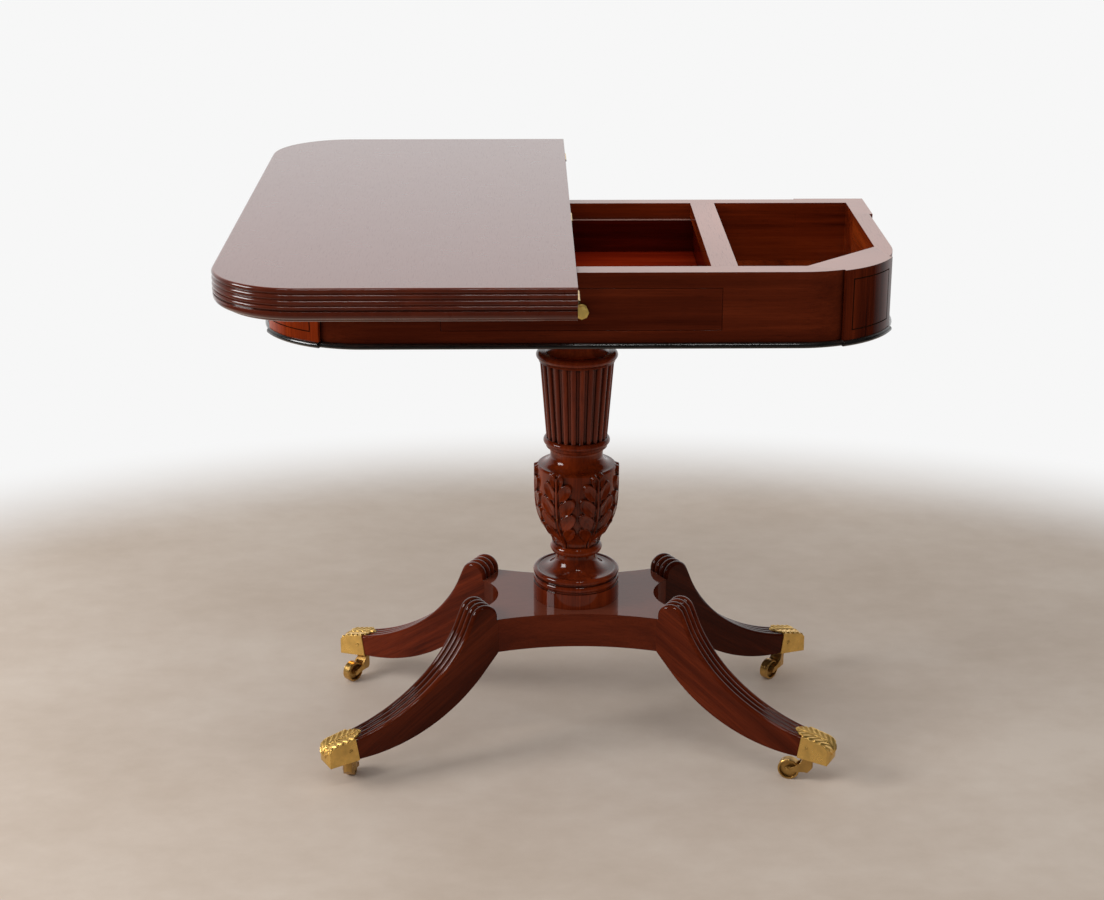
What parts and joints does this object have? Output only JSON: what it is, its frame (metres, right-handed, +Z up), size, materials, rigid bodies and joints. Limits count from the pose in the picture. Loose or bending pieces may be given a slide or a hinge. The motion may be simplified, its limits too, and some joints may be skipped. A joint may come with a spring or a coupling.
{
  "type": "games table",
  "caption": "Swivel-top games table with fold-over leaf, frieze drawer and wells, on a reeded column and carved vase with sabre legs, toe caps and casters",
  "frame": {"origin": "on the floor, under the axis of the column", "axes": "+Z up, -Y toward the drawer front, +X toward the end whose well the turned top uncovers, +Y along the folded leaves at rest"},
  "size_m": [0.8427, 0.868, 0.756],
  "materials": {
    "polished_wood": "red-brown mahogany, French polished to a gloss",
    "inner_wood": "plain red-brown wood, thinly sealed",
    "ebonised_wood": "wood stained black, polished",
    "brass": "cast and polished, dark in the recesses",
    "steel": "plain, dulled"
  },
  "bodies": {
    "stand": {"back_post_left": "polished_wood", "back_post_right": "polished_wood", "back_rail": "polished_wood", "bearer_screws": "steel", "column_base": "polished_wood", "column_bearer": "inner_wood", "column_capital": "polished_wood", "column_shaft": "polished_wood", "column_vase": "polished_wood", "divider_left": "polished_wood", "divider_right": "polished_wood", "drawer_runner_left": "inner_wood", "drawer_runner_right": "inner_wood", "ebonised_bead": "ebonised_wood", "end_rail_left": "polished_wood", "end_rail_right": "polished_wood", "front_block_left": "polished_wood", "front_block_right": "polished_wood", "front_rail": "polished_wood", "leg_back_left": "polished_wood", "leg_back_right": "polished_wood", "leg_front_left": "polished_wood", "leg_front_right": "polished_wood", "pivot_board": "inner_wood", "platform": "polished_wood", "toe_cap_back_left": "brass", "toe_cap_back_right": "brass", "toe_cap_front_left": "brass", "toe_cap_front_right": "brass", "toe_cap_screws": "brass", "well_floor_left": "inner_wood", "well_floor_right": "inner_wood"},
    "lower_top": {"lower_leaf": "polished_wood", "pivot_plate": "steel", "pivot_bolt": "steel", "pivot_washer": "steel", "pivot_nut": "steel", "hinge_lower_plates": "brass", "hinge_pins": "brass"},
    "upper_top": {"upper_leaf": "polished_wood", "hinge_upper_plates": "brass"},
    "drawer": {"drawer_front": "polished_wood", "drawer_side_left": "inner_wood", "drawer_side_right": "inner_wood", "drawer_back": "inner_wood", "drawer_bottom": "inner_wood", "drawer_knob": "brass"},
    "swivel_front_right": {"caster_horn_front_right": "brass", "caster_axle_front_right": "brass"},
    "wheel_front_right": {"caster_wheel_front_right": "brass"},
    "swivel_back_right": {"caster_horn_back_right": "brass", "caster_axle_back_right": "brass"},
    "wheel_back_right": {"caster_wheel_back_right": "brass"},
    "swivel_back_left": {"caster_horn_back_left": "brass", "caster_axle_back_left": "brass"},
    "wheel_back_left": {"caster_wheel_back_left": "brass"},
    "swivel_front_left": {"caster_horn_front_left": "brass", "caster_axle_front_left": "brass"},
    "wheel_front_left": {"caster_wheel_front_left": "brass"}
  },
  "joints": [
    {"name": "top_swivel", "type": "hinge", "parent": "stand", "child": "lower_top", "pos_m": [-0.111, 0.111, 0.714], "axis": [0, 0, 1], "range_deg": [0, 90]},
    {"name": "leaf_fold", "type": "hinge", "parent": "lower_top", "child": "upper_top", "pos_m": [-0.0097, 0, 0.7351], "axis": [0, 1, 0], "range_deg": [0, 180]},
    {"name": "drawer_slide", "type": "slide", "parent": "stand", "child": "drawer", "axis": [0, -1, 0], "range_m": [0, 0.25]},
    {"name": "swivel_front_right", "type": "hinge", "parent": "stand", "child": "swivel_front_right", "pos_m": [0.3094, -0.17057, 0.0364], "axis": [0, 0, 1], "continuous": true},
    {"name": "roll_front_right", "type": "hinge", "parent": "swivel_front_right", "child": "wheel_front_right", "pos_m": [0.28467, -0.16253, 0.0146], "axis": [-0.309, -0.9511, 0], "continuous": true},
    {"name": "swivel_back_right", "type": "hinge", "parent": "stand", "child": "swivel_back_right", "pos_m": [0.3094, 0.17057, 0.0364], "axis": [0, 0, 1], "continuous": true},
    {"name": "roll_back_right", "type": "hinge", "parent": "swivel_back_right", "child": "wheel_back_right", "pos_m": [0.29167, 0.15155, 0.0146], "axis": [0.7314, -0.682, 0], "continuous": true},
    {"name": "swivel_back_left", "type": "hinge", "parent": "stand", "child": "swivel_back_left", "pos_m": [-0.3094, 0.17057, 0.0364], "axis": [0, 0, 1], "continuous": true},
    {"name": "roll_back_left", "type": "hinge", "parent": "swivel_back_left", "child": "wheel_back_left", "pos_m": [-0.3268, 0.15125, 0.0146], "axis": [0.7431, -0.6691, 0], "continuous": true},
    {"name": "swivel_front_left", "type": "hinge", "parent": "stand", "child": "swivel_front_left", "pos_m": [-0.3094, -0.17057, 0.0364], "axis": [0, 0, 1], "continuous": true},
    {"name": "roll_front_left", "type": "hinge", "parent": "swivel_front_left", "child": "wheel_front_left", "pos_m": [-0.30713, -0.14467, 0.0146], "axis": [-0.9962, 0.0872, 0], "continuous": true}
  ]
}
